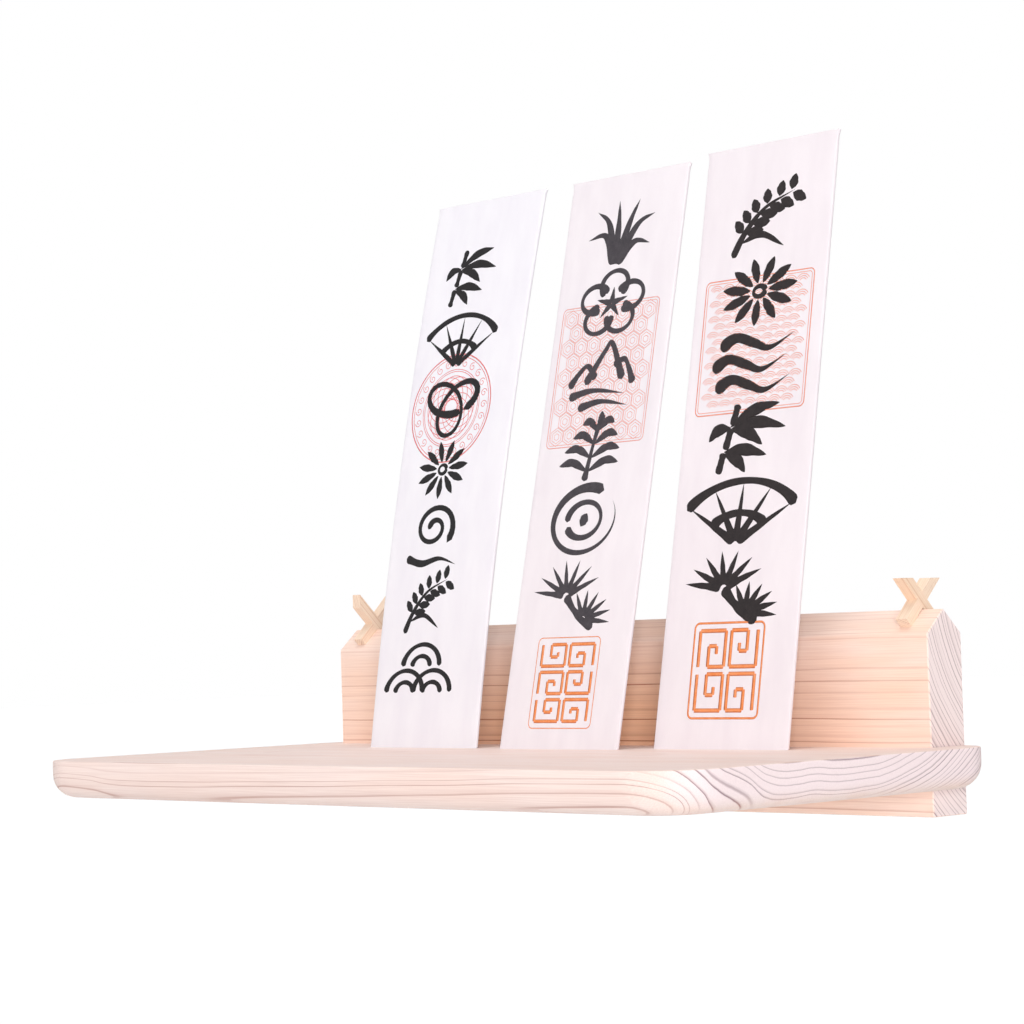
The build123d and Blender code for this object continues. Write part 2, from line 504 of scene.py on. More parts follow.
@dataclass(frozen=True)
class Studio:
    """Camera, soft light, pale floor and white surround."""

    focal_px: float = 2745.82
    image_px: float = 1024.0
    film_mm: float = 36.0
    place_mm: Triple = (785.2, -848.43, 43.81)
    yaw_deg: float = 45.32
    pitch_deg: float = 2.71
    roll_deg: float = -1.72
    target: Triple = (0.0, -0.08, 0.06)
    lamps: tuple[Lamp, ...] = (
        Lamp("key", (1.95, -1.87, 0.3), 0.9, 40.0),
        Lamp("fill", (-1.6, -2.2, 0.3), 1.4, 6.5),
        Lamp("overhead", (0.2, -0.7, 2.8), 1.6, 34.5),
    )
    world_light: float = 0.38
    world_white: float = 1.0
    floor_z: float = -0.42
    floor_half: float = 20.0
    floor_tone: float = 0.9
    floor_glow: float = 0.49
    far_glow: float = 0.17

    def camera(self) -> None:
        """Place the camera where the photograph was taken.

        The line of sight is turned from +Y by the yaw about Z, raised by the pitch, and the image is
        rolled about it.
        """
        yaw, pitch, roll = np.radians([self.yaw_deg, self.pitch_deg, self.roll_deg])
        flat = np.cos(pitch)
        sight = np.array([-np.sin(yaw) * flat, np.cos(yaw) * flat, np.sin(pitch)])
        level = np.cross(sight, [0.0, 0.0, 1.0])
        level /= np.linalg.norm(level)
        rise = np.cross(level, sight)
        right = np.cos(roll) * level + np.sin(roll) * rise
        top = np.cos(roll) * rise - np.sin(roll) * level
        data = bpy.data.cameras.new("camera")
        data.sensor_width = self.film_mm
        data.lens = self.focal_px / self.image_px * self.film_mm
        data.clip_start = 0.02
        data.clip_end = 60.0
        camera = bpy.data.objects.new("camera", data)
        turn = Matrix((right, top, -sight)).transposed()
        camera.matrix_world = Matrix.Translation(Vector(self.place_mm) * MM) @ turn.to_4x4()
        bpy.context.scene.collection.objects.link(camera)
        bpy.context.scene.camera = camera

    def surround(self) -> None:
        """Fill the world with even light that cameras and mirrors see as white."""
        world = bpy.data.worlds.new("studio")
        bpy.context.scene.world = world
        world.use_nodes = True
        tree = Tree(world.node_tree)
        mix = tree.node("MixShader", {0: tree.seen_rays()})
        for slot, strength in ((1, self.world_light), (2, self.world_white)):
            light = tree.node("Background", {"Color": WHITE, "Strength": strength})
            tree.feed(mix.inputs[slot], light.outputs[0])
        tree.node("OutputWorld", {"Surface": mix.outputs[0]})

    def floor(self) -> None:
        """Lay a wide pale floor that takes the shadow, is white far off and is clear from below."""
        mesh = bpy.data.meshes.new("floor")
        corners = [(x, y, self.floor_z) for x, y in ((-1, -1), (1, -1), (1, 1), (-1, 1))]
        mesh.from_pydata(corners, [], [(0, 1, 2, 3)])
        mesh.transform(Matrix.Diagonal((self.floor_half, self.floor_half, 1.0, 1.0)))
        graph = Graph("pale_floor")
        far = graph.ramp(graph.vector("LENGTH", graph.coords) * 0.1, (0.15, 0.0), (0.6, 1.0))
        glow = graph.seen_rays() * (far * self.far_glow + self.floor_glow)
        tone = (self.floor_tone, self.floor_tone, self.floor_tone, 1)
        graph.surface(Base_Color=tone, Roughness=0.9, Emission_Color=WHITE, Emission_Strength=glow)
        below = graph.node("NewGeometry").outputs["Backfacing"]
        clear = graph.node("BsdfTransparent").outputs["BSDF"]
        mix = graph.node("MixShader", {0: below, 1: graph.shader.outputs["BSDF"], 2: clear})
        graph.feed(graph.output.inputs["Surface"], mix.outputs[0])
        mesh.materials.append(graph.material)
        floor = bpy.data.objects.new("floor", mesh)
        bpy.context.scene.collection.objects.link(floor)

    def build(self) -> None:
        """Set up the whole studio."""
        bpy.context.scene.view_settings.view_transform = "Standard"
        self.camera()
        self.surround()
        self.floor()
        for lamp in self.lamps:
            lamp.hang(self.target)


# Guide points in millimetres: how far the rings rise from their lowest level across the shelf, how
# they drift along it, and the levels of the wide rings at the front, from the lowest one up.
SHELF_SAG = (
    (-181.5, 30.4), (-174.0, 26.2), (-165.0, 17.6), (-160.0, 13.4), (-145.0, 7.2), (-127.0, 0.4),
    (-118.0, 0.0), (-108.0, 0.4), (-97.0, -0.3), (-80.0, 0.0), (-67.0, 1.3), (-57.0, 3.7),
    (-43.0, 8.8), (-30.0, 15.6), (-15.0, 25.5), (0.0, 37.0),
)
SHELF_DRIFT = (
    (-181.5, -1.2), (-160.0, -1.9), (-140.0, -2.8), (-110.0, -4.4),
    (-30.0, -3.3), (60.0, -2.0), (120.0, -0.6), (181.5, 0.2),
)
SHELF_FRONT_RINGS = (
    (-60.0, 13.0), (-49.0, 10.0), (-39.8, 8.0), (-36.6, 7.0), (-32.2, 5.0), (-24.0, 3.0), (-12.0, 0.0),
)
SHELF_WOOD = WoodFinish(
    "shelf_cypress", (248, 229, 222), (172, 112, 98), (251, 234, 235), (130, 94, 106),
    (243, 212, 198), RingShape.VALLEY, spacing=2.4, waviness=0.3, line_strength=1.0, contrast=1.1,
    calm_top=0.85, sag=SHELF_SAG, drift=SHELF_DRIFT, front_rings=SHELF_FRONT_RINGS,
)
# The back board's finish paints shade in a patch low in its middle, behind the cards, partly as a warmer
# heartwood tone.
BACK_WOOD = WoodFinish(
    "back_cypress", (254, 229, 216), (176, 100, 70), (251, 234, 232), (134, 98, 104),
    (255, 207, 172), spacing=1.85, pith=(75.0, 75.0), waviness=0.25, line_strength=0.95,
    cut_strength=1.0, contrast=2.0, heartwood_and_shade=1.0,
)
FRONT_LATH_WOOD = WoodFinish(
    "front_lath_cypress", (250, 226, 204), (205, 152, 112), (246, 222, 200), (186, 138, 112),
    (248, 213, 180), spacing=1.1, pith=(120.0, -40.0), lean_deg=-45.5, waviness=0.2,
    line_strength=0.6,
)
REAR_LATH_WOOD = replace(FRONT_LATH_WOOD, name="rear_lath_cypress", lean_deg=45.5)
CORE_WOOD = WoodFinish(
    "core_wood", (226, 196, 158), (170, 128, 90), (220, 190, 150), (150, 110, 80),
    (220, 180, 140), spacing=1.5, pith=(60.0, -20.0), lean_deg=12.0,
)
LEFT_PAPER = PaperFinish("left_paper", (239, 236, 241), (233, 229, 236))
MIDDLE_PAPER = PaperFinish("middle_paper", (237, 230, 234), (231, 223, 228))
RIGHT_PAPER = PaperFinish("right_paper", (236, 228, 232), (230, 221, 226))
SCREW_STEEL = SteelFinish("screw_steel", (205, 205, 200), (160, 158, 150))
BLACK_INK = InkFinish("black_ink", (13, 11, 13), (40, 36, 40))
GREY_INK = InkFinish("grey_ink", (54, 50, 55), (88, 82, 87))
BROWN_INK = InkFinish("brown_ink", (28, 22, 24), (56, 48, 48))
RED_STAMP = InkFinish("red_stamp_ink", (222, 96, 98), (245, 190, 190))
CORAL_STAMP = InkFinish("coral_stamp_ink", (228, 140, 128), (246, 205, 198))
WAVE_STAMP = InkFinish("wave_stamp_ink", (232, 130, 100), (248, 204, 188))
ORANGE_STAMP = InkFinish("orange_stamp_ink", (236, 130, 66), (248, 190, 150))


def bell(offset: np.ndarray, width: float) -> np.ndarray:
    """A bell-shaped swell: e to the power of minus the square of offset over width."""
    return np.exp(-((offset / width) ** 2))


def rounded(near: np.ndarray, reach: float | np.ndarray) -> np.ndarray:
    """A round end: the height of a quarter circle, 0 at the end and 1 at the reach and beyond."""
    return np.sqrt(1 - (1 - np.clip(near / reach, 0, 1)) ** 2)


def arc(middle: Pair, radius: float, start: float, end: float, count: int = 12) -> Guide:
    """Points of a round arc about a middle, from one angle to another in degrees."""
    turn = np.radians(np.linspace(start, end, count))
    return tuple(zip(middle[0] + radius * np.cos(turn), middle[1] + radius * np.sin(turn)))


def spoke(angle: float, near: float, far: float, middle: Pair = (0, 0)) -> Guide:
    """Three points on a ray from a middle, at an angle in degrees."""
    way = np.array([np.cos(np.radians(angle)), np.sin(np.radians(angle))])
    return tuple(tuple(np.array(middle) + way * reach) for reach in (near, (near + far) / 2, far))


class Touch(Enum):
    """How a brush is pressed along one pull."""

    FIRM = "pressed at both ends and lighter between"
    SWEEP = "pressed at the start and lifted to a point"
    LEAF = "swelling in the middle, pointed at both ends"
    EVEN = "one width, as a stamp prints it"


@dataclass(frozen=True)
class Pull:
    """One pull of the brush: the points it runs through, its width in the same units, and its touch."""

    points: Guide
    width: float
    touch: Touch = Touch.FIRM

    def line(self, count: int = 48) -> np.ndarray:
        """Run a line through the points.

        A stamped line is straight from point to point. A brushed one is smooth: each span is the cubic
        whose slope at a point is half the step between that point's neighbours.

        Args:
            count: how many places to return along a brushed line.

        Returns:
            An array of rows with x and y.
        """
        given = np.asarray(self.points, float)
        if self.touch is Touch.EVEN:
            return self.stamped(given)
        guide = np.vstack([2 * given[0] - given[1], given, 2 * given[-1] - given[-2]])
        along = np.linspace(0, len(given) - 1, count)
        span = np.minimum(along.astype(int), len(given) - 2)
        part = (along - span)[:, None]
        before, start, end, after = (guide[span + step] for step in range(4))
        cubic = 3 * (start - end) + after - before
        square = 2 * before - 5 * start + 4 * end - after
        return start + 0.5 * part * (end - before + part * (square + part * cubic))

    def stamped(self, given: np.ndarray) -> np.ndarray:
        """Straight spans through the points, with close rows at the ends so that they close bluntly.

        A closed line runs on over its start by its own width.

        Args:
            given: the points, a row each.

        Returns:
            An array of rows with x and y.
        """
        if np.allclose(given[0], given[-1]):
            way = given[1] - given[0]
            given = np.vstack([given, given[0] + way * min(1.0, self.width / np.linalg.norm(way))])
        ends = zip(given[:-1], given[1:])
        spans = [np.linspace(a, b, 2 + int(np.linalg.norm(b - a) / 3.0))[:-1] for a, b in ends]
        rows = np.vstack([*spans, given[-1:]])
        first, last = rows[1] - rows[0], rows[-2] - rows[-1]
        near = self.width / 2 * np.array([[0.03], [0.2], [0.8]])
        start = rows[0] + near * first / max(np.linalg.norm(first), self.width * 0.9)
        end = rows[-1] + near[::-1] * last / max(np.linalg.norm(last), self.width * 0.9)
        return np.vstack([rows[:1], start, rows[1:-1], end, rows[-1:]])

    def half_widths(self, line: np.ndarray) -> np.ndarray:
        """Half the width at each place of a line, with round ends.

        The touch gives a factor of the share s of the way: firm is 1 plus bell-shaped swells at the ends
        less a shallow dip, sweep falls as 1 - s squared, leaf is the sine of half a turn. A round end
        is a half circle over its last half width, and a stamp's end is blunter.

        Args:
            line: rows with x and y.

        Returns:
            One number a row, in the line's units.
        """
        share = np.linspace(0, 1, len(line))
        half = np.full(len(line), self.width / 2)
        if self.touch is Touch.FIRM:
            dip = 0.3 * np.sin(np.pi * share)
            half *= 1 - dip + 0.28 * bell(share, 0.12) + 0.22 * bell(1 - share, 0.14)
        elif self.touch is Touch.SWEEP:
            half *= (1 + 0.25 * bell(share, 0.15)) * np.clip(1 - share**2, 0.02, 1)
        elif self.touch is Touch.LEAF:
            half *= np.clip(np.sin(np.pi * share), 0, 1) ** 0.8
        step = np.linalg.norm(np.diff(line, axis=0), axis=1)
        run = np.concatenate([[0], np.cumsum(step)])
        blunt = 0.12 if self.touch is Touch.EVEN else 1.0
        return half * rounded(np.minimum(run, run[-1] - run), np.maximum(half * blunt, 1e-6))


def alike(lines: list[Guide], width: float, touch: Touch = Touch.FIRM) -> list[Pull]:
    """One pull for each line, all of one width and touch."""
    return [Pull(line, width, touch) for line in lines]


def grains(stem: Guide) -> list[Guide]:
    """A pair of grains at each of six places along the upper part of a stem.

    Args:
        stem: the points that the stem runs through.

    Returns:
        The points of each grain.
    """
    spots = Pull(stem, 1.0).line(40)
    places = range(12, 39, 5)
    ways = [spots[at] - spots[at - 1] for at in places]
    angles = [np.degrees(np.arctan2(way[1], way[0])) for way in ways]
    ends = zip(places, angles)
    return [spoke(angle + side, 0.06, 0.52, tuple(spots[at])) for at, angle in ends for side in (58, -58)]


def leaflet(low: float, reach: float) -> Guide:
    """A leaf that starts from a leaning stem at a height and reaches to one side."""
    root = 0.08 * low
    return ((root, low), (root + reach * 0.55, low + 0.3), (root + reach, low + 0.22))


def stalk(at: int) -> Guide:
    """One length of a leaning stalk, counted from its foot."""
    return ((0.1 * at - 0.62, 0.68 * at - 1.0), (0.1 * at - 0.55, 0.68 * at - 0.4))


def petal(turn: float) -> Guide:
    """A round petal that is open towards the flower's middle."""
    middle = (0.58 * np.cos(np.radians(turn)), 0.58 * np.sin(np.radians(turn)))
    return arc(middle, 0.4, turn - 142, turn + 142, 16)


def ripple(shift: float, up: float) -> Guide:
    """A line that rises and falls, set off sideways and upwards."""
    line = ((-1.0, -0.08), (-0.6, 0.2), (-0.1, 0.0), (0.35, -0.18), (0.95, 0.2))
    return tuple((x + shift, up + y) for x, y in line)


def loops() -> Guide:
    """The line with x = sin t + 2 sin 2t and y = cos t - 2 cos 2t, which crosses itself three times."""
    turn = np.linspace(0.3, 2 * np.pi + 0.3, 36)
    wide, tall = np.sin(turn) + 2 * np.sin(2 * turn), np.cos(turn) - 2 * np.cos(2 * turn)
    return tuple(zip(wide / 2.8, tall / 2.8))


def scroll() -> Guide:
    """A line that winds in by an even step a turn."""
    turn = np.linspace(0, 3.3 * np.pi, 24)
    reach = 0.82 - 0.067 * turn
    return tuple(zip(-0.08 + reach * np.cos(turn - 0.7), 0.26 + reach * np.sin(turn - 0.7)))


NEEDLES = range(-72, 73, 24)
FIVE_TURNS = range(90, 450, 72)
RICE_STEM = ((-0.75, -1.0), (-0.5, -0.3), (-0.05, 0.35), (0.7, 0.75))
FERN_PAIRS = ((-0.72, 0.92), (-0.32, 0.86), (0.08, 0.7), (0.46, 0.5))
SCALES = ((0, 0.1), (-0.55, -0.75), (0.55, -0.75))


class Ornament(Enum):
    """Plain brush-drawn ornaments in a square from -1 to 1, as pulls of a brush of width 1."""

    # An open fan: two bands bent round the pivot, and five ribs.
    FAN = (
        *alike([arc((0, -0.9), radius, 145, 35) for radius in (1.75, 0.85)], 1.15),
        *alike([spoke(turn, 0.05, 1.7, (0, -0.9)) for turn in range(142, 37, -26)], 0.9, Touch.SWEEP),
    )
    # Needles that fan out from two places on a twig.
    PINE = (
        *alike([spoke(100 + turn, 0.08, 1.05, (-0.25, -0.05)) for turn in NEEDLES], 0.95, Touch.SWEEP),
        *alike([spoke(65 + turn, 0.08, 0.85, (0.4, -0.75)) for turn in NEEDLES], 0.95, Touch.SWEEP),
        Pull(((-0.25, -0.05), (0.05, -0.45), (0.3, -0.72), (0.75, -1.0)), 1.3),
    )
    # A bowed stem, its leaf and its grains.
    RICE = (
        Pull(RICE_STEM, 0.85, Touch.SWEEP),
        Pull(((-0.6, -0.62), (-0.05, -0.42), (0.6, -0.85)), 0.8, Touch.LEAF),
        *alike(grains(RICE_STEM), 1.25, Touch.LEAF),
    )
    # A leaning stem, the leaf at its tip, and four pairs of leaves that get shorter upwards.
    FERN = (
        Pull(((-0.1, -1.0), (-0.02, 0.0), (0.06, 0.7)), 1.0),
        Pull(((0.05, 0.55), (0.1, 0.8), (0.08, 1.05)), 1.4, Touch.LEAF),
        *alike([leaflet(low, side * size) for low, size in FERN_PAIRS for side in (-1, 1)], 1.3, Touch.LEAF),
    )
    # Six blades that arch out from one root.
    ORCHID = alike([
        ((-0.05, -0.95), (-0.45, -0.05), (-1.0, -0.1)), ((-0.03, -0.95), (-0.4, 0.3), (-0.85, 0.75)),
        ((-0.01, -0.95), (-0.1, 0.25), (-0.2, 1.0)), ((0.01, -0.95), (0.25, 0.3), (0.45, 0.95)),
        ((0.03, -0.95), (0.5, 0.15), (1.0, 0.45)), ((0.05, -0.95), (0.5, -0.35), (1.0, -0.45)),
    ], 1.35, Touch.SWEEP)
    # Three lengths of stalk, and leaves from the two joints between them.
    BAMBOO = alike([stalk(at) for at in range(3)], 1.25) + alike([
        ((-0.48, 0.32), (0.1, 0.75), (0.75, 0.9)), ((-0.45, 0.28), (0.25, 0.4), (1.0, 0.2)),
        ((-0.45, 0.25), (0.05, 0.1), (0.45, -0.25)), ((-0.55, -0.38), (0.0, -0.35), (0.6, -0.55)),
        ((-0.55, -0.42), (-0.15, -0.65), (0.1, -1.0)), ((-0.45, 0.3), (-0.8, 0.25), (-1.0, -0.05)),
    ], 1.35, Touch.LEAF)
    # Eleven petals round a small ring.
    DAISY = (
        *alike([spoke(8 + 360 * at / 11, 0.24, 1.0) for at in range(11)], 1.2, Touch.LEAF),
        Pull(arc((0, 0), 0.15, 0, 370), 0.7),
    )
    # Five round petals, and five stamens.
    PLUM = (
        *alike([petal(turn) for turn in FIVE_TURNS], 1.05),
        *alike([spoke(turn, 0.0, 0.5) for turn in FIVE_TURNS], 1.0, Touch.SWEEP),
    )
    # A line that crosses itself three times.
    KNOT = (Pull(loops(), 1.1),)
    # Three scales, each two arcs with one middle.
    WAVES = alike([arc(spot, radius, 178, 2) for spot in SCALES for radius in (0.74, 0.36)], 1.0)
    # Three ripples, each set off sideways from the next.
    WATER = alike([ripple(0.05, 0.6), ripple(-0.08, 0.0), ripple(0.08, -0.6)], 1.35, Touch.SWEEP)
    # A scroll over a stroke that trails off.
    CLOUD = (
        Pull(scroll(), 1.1),
        Pull(((-1.0, -0.72), (-0.35, -0.92), (0.35, -0.78), (1.05, -1.0)), 1.2, Touch.SWEEP),
    )
    # Two open rings round a drop.
    RINGS = (
        Pull(arc((0, 0), 0.95, 60, 395, 24), 1.2, Touch.SWEEP),
        Pull(arc((0, 0), 0.52, 200, 545, 20), 1.0),
        Pull(spoke(70, -0.2, 0.2), 1.7, Touch.LEAF),
    )
    # Three hills, each drawn up and over, and two strokes of mist below.
    HILLS = alike([
        ((-1.0, -0.3), (-0.72, 0.15), (-0.5, 0.3), (-0.2, -0.1)),
        ((-0.5, -0.25), (-0.05, 0.7), (0.15, 0.9), (0.65, -0.2)),
        ((0.3, 0.25), (0.6, 0.4), (0.78, 0.15), (1.0, -0.35)),
    ], 1.15) + alike([
        ((-0.95, -0.6), (-0.2, -0.45), (0.8, -0.62)), ((-0.6, -0.95), (0.1, -0.8), (0.95, -0.98)),
    ], 1.1, Touch.SWEEP)

    def pulls(self, width: float) -> list[Pull]:
        """The ornament's pulls for a brush of that width."""
        return [replace(pull, width=pull.width * width) for pull in self.value]


@dataclass(frozen=True)
class Stamp:
    """A printed seal: a frame of fine or bold lines with a plain repeating ornament in it.

    Its lines are in millimetres about its middle, and each of its last four methods returns those
    of one pattern.
    """

    name: str
    middle: Pair
    size: Pair
    frame_line: float
    inner_line: float
    finish: InkFinish
    pattern: "SealPattern"
    corner: float = 2.2
    inner_inset: float = 1.1
    inner_corner: float = 1.4

    def fine(self, points: Guide) -> Pull:
        """One line of the ornament."""
        return Pull(points, self.inner_line, Touch.EVEN)

    def box(self, inset: float, corner: float, width: float) -> Pull:
        """One closed line inside the seal's edge, with round corners.

        Args:
            inset: how far inside.
            corner: the corners' radius.
            width: the line's width.

        Returns:
            The line.
        """
        half_x, half_y = (side / 2 - inset - corner for side in self.size)
        spots = [
            spot for x, y, start in ((1, 1, 0), (-1, 1, 90), (-1, -1, 180), (1, -1, 270))
            for spot in arc((x * half_x, y * half_y), corner, start, start + 90, 8)
        ]
        return Pull(tuple(spots + spots[:1]), width, Touch.EVEN)

    def staggered(self, pitch: float, rise: float, side: float, low: float, high: float) -> list[Pair]:
        """Middles in rows a rise apart, every other row set off by half a pitch.

        Args:
            pitch: the step along a row.
            rise: the step from row to row.
            side: how far the middles keep from the left and right edges.
            low: how far they keep from the lower edge.
            high: how far they keep from the upper edge.

        Returns:
            The middles.
        """
        half_x, half_y = self.size[0] / 2, self.size[1] / 2
        spots = [
            (pitch * (column + 0.5 * (row % 2)), rise * row)
            for row in range(-8, 9) for column in range(-4, 5)
        ]
        return [(x, y) for x, y in spots if abs(x) < half_x - side and low - half_y < y < half_y - high]

    def filled(self, spots: list[Pair], start: float, end: float, radii: Triple) -> list[Pull]:
        """A double frame, filled with nested six-sided arcs about the spots."""
        edge = [
            self.box(0.0, self.corner, self.frame_line),
            self.box(self.inner_inset, self.inner_corner, self.inner_line),
        ]
        return edge + [self.fine(arc(spot, radius, start, end, 7)) for spot in spots for radius in radii]

    def hexagons(self) -> list[Pull]:
        """Square, with nested hexagons all over."""
        return self.filled(self.staggered(7.4, 7.4 * 0.866, 4.6, 4.8, 4.8), 30, 390, (4.05, 2.9, 1.5))

    def sea_waves(self) -> list[Pull]:
        """Square, with overlapping wave scales."""
        return self.filled(self.staggered(6.4, 3.2, 4.2, 1.4, 4.8), 150, 30, (3.6, 2.7, 1.8))

    def rosette(self) -> list[Pull]:
        """Round, with a ring of curls and a rosette of crossing circles.

        Returns:
            The rings, 24 curls and 12 circles.
        """
        wide = self.size[0] / 2
        lines = [Pull(arc((0, 0), wide, 0, 360, 48), self.frame_line, Touch.EVEN)]
        lines += [self.fine(arc((0, 0), wide - inset, 0, 360, 48)) for inset in (1.3, 7.0, 7.9)]
        turn = np.linspace(0, 2.6 * np.pi, 14)
        curl = (2.0 - 0.2 * turn)[:, None] * np.stack([np.cos(turn), np.sin(turn)], axis=1)
        for angle in np.radians(np.arange(0, 360, 15.0)):
            spin = np.array([[np.cos(angle), -np.sin(angle)], [np.sin(angle), np.cos(angle)]])
            lines.append(self.fine((curl + [wide - 4.1, 0]) @ spin.T))
        middles = arc((0, 0), 5.4, 0, 330, 12)
        return lines + [self.fine(arc(middle, 9.2, 0, 360, 36)) for middle in middles]

    def frets(self, rows: int) -> list[Pull]:
        """Square spirals of one width, two to a row, mirrored and turned over by turns.

        Args:
            rows: how many rows.

        Returns:
            The frame and the spirals.
        """
        cell = np.array([self.size[0] / 2 - 1.6, (self.size[1] - 3.2) / rows])
        spiral = np.array([
            (-1, -1), (-1, 1), (1, 1), (1, -1), (-0.25, -1), (-0.25, 0.15), (0.35, 0.15), (0.35, -0.3),
        ]) * (cell / 2 - self.inner_line * 0.85)
        lines = [self.box(0.0, self.corner, self.frame_line)]
        for row in range(rows):
            for column in range(2):
                flip = (1 - 2 * column, 1 if (row + column) % 2 else -1)
                spots = cell * (column - 0.5, row - (rows - 1) / 2) + spiral * flip
                lines += [self.fine(pair) for pair in zip(spots[:-1], spots[1:])]
        return lines


class SealPattern(Enum):
    """What fills a printed seal."""

    ROSETTE = member(Stamp.rosette)
    HEXAGONS = member(Stamp.hexagons)
    SEA_WAVES = member(Stamp.sea_waves)
    FRETS_NARROW = member(partial(Stamp.frets, rows=3))
    FRETS_WIDE = member(partial(Stamp.frets, rows=2))

    def lines(self, stamp: Stamp) -> list[Pull]:
        """The pattern's lines, in millimetres about the stamp's middle."""
        return self.value(stamp)


def mesh_piece(name: str, surface: Surface, material: bpy.types.Material) -> bpy.types.Object:
    """Put arrays into a mesh, close its poles, turn its faces outwards and let it ride.

    Args:
        name: the piece's name.
        surface: places in metres, one row each, and quads with four indices a row.
        material: the finish of the whole piece.

    Returns:
        The finished object, at the origin.
    """
    points, quads = surface
    mesh = bpy.data.meshes.new(name)
    mesh.vertices.add(len(points))
    mesh.vertices.foreach_set("co", np.ascontiguousarray(points, np.float32).ravel())
    mesh.loops.add(quads.size)
    mesh.loops.foreach_set("vertex_index", np.ascontiguousarray(quads, np.int32).ravel())
    mesh.polygons.add(len(quads))
    mesh.polygons.foreach_set("loop_start", np.arange(0, quads.size, 4, dtype=np.int32))
    mesh.update(calc_edges=True)
    shell = bmesh.new()
    shell.from_mesh(mesh)
    bmesh.ops.remove_doubles(shell, verts=shell.verts, dist=2e-6)
    bmesh.ops.dissolve_degenerate(shell, edges=shell.edges, dist=1e-7)
    bmesh.ops.recalc_face_normals(shell, faces=shell.faces)
    shell.to_mesh(mesh)
    shell.free()
    mesh.polygons.foreach_set("use_smooth", np.ones(len(mesh.polygons), bool))
    mesh.materials.append(material)
    piece = bpy.data.objects.new(name, mesh)
    bpy.context.scene.collection.objects.link(piece)
    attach(piece, "root")
    log.info("built %s, %d faces", name, len(mesh.polygons))
    return piece


def ring_quads(rings: int, sides: int) -> np.ndarray:
    """Quads between rings of points, each ring closed on itself: ring i, side j to the next of each.

    Args:
        rings: how many rings.
        sides: points in a ring.

    Returns:
        Four indices a row.
    """
    ring, side = np.meshgrid(np.arange(rings - 1), np.arange(sides), indexing="ij")
    near, far = ring * sides, (ring + 1) * sides
    after = (side + 1) % sides
    return np.stack([near + side, near + after, far + after, far + side], axis=-1).reshape(-1, 4)


def joined(parts: list[Surface]) -> Surface:
    """Put surfaces together, with each one's indices moved on past the points before it."""
    starts = np.cumsum([0] + [len(points) for points, _ in parts[:-1]])
    quads = [quads + start for (_, quads), start in zip(parts, starts)]
    return np.vstack([points for points, _ in parts]), np.vstack(quads)


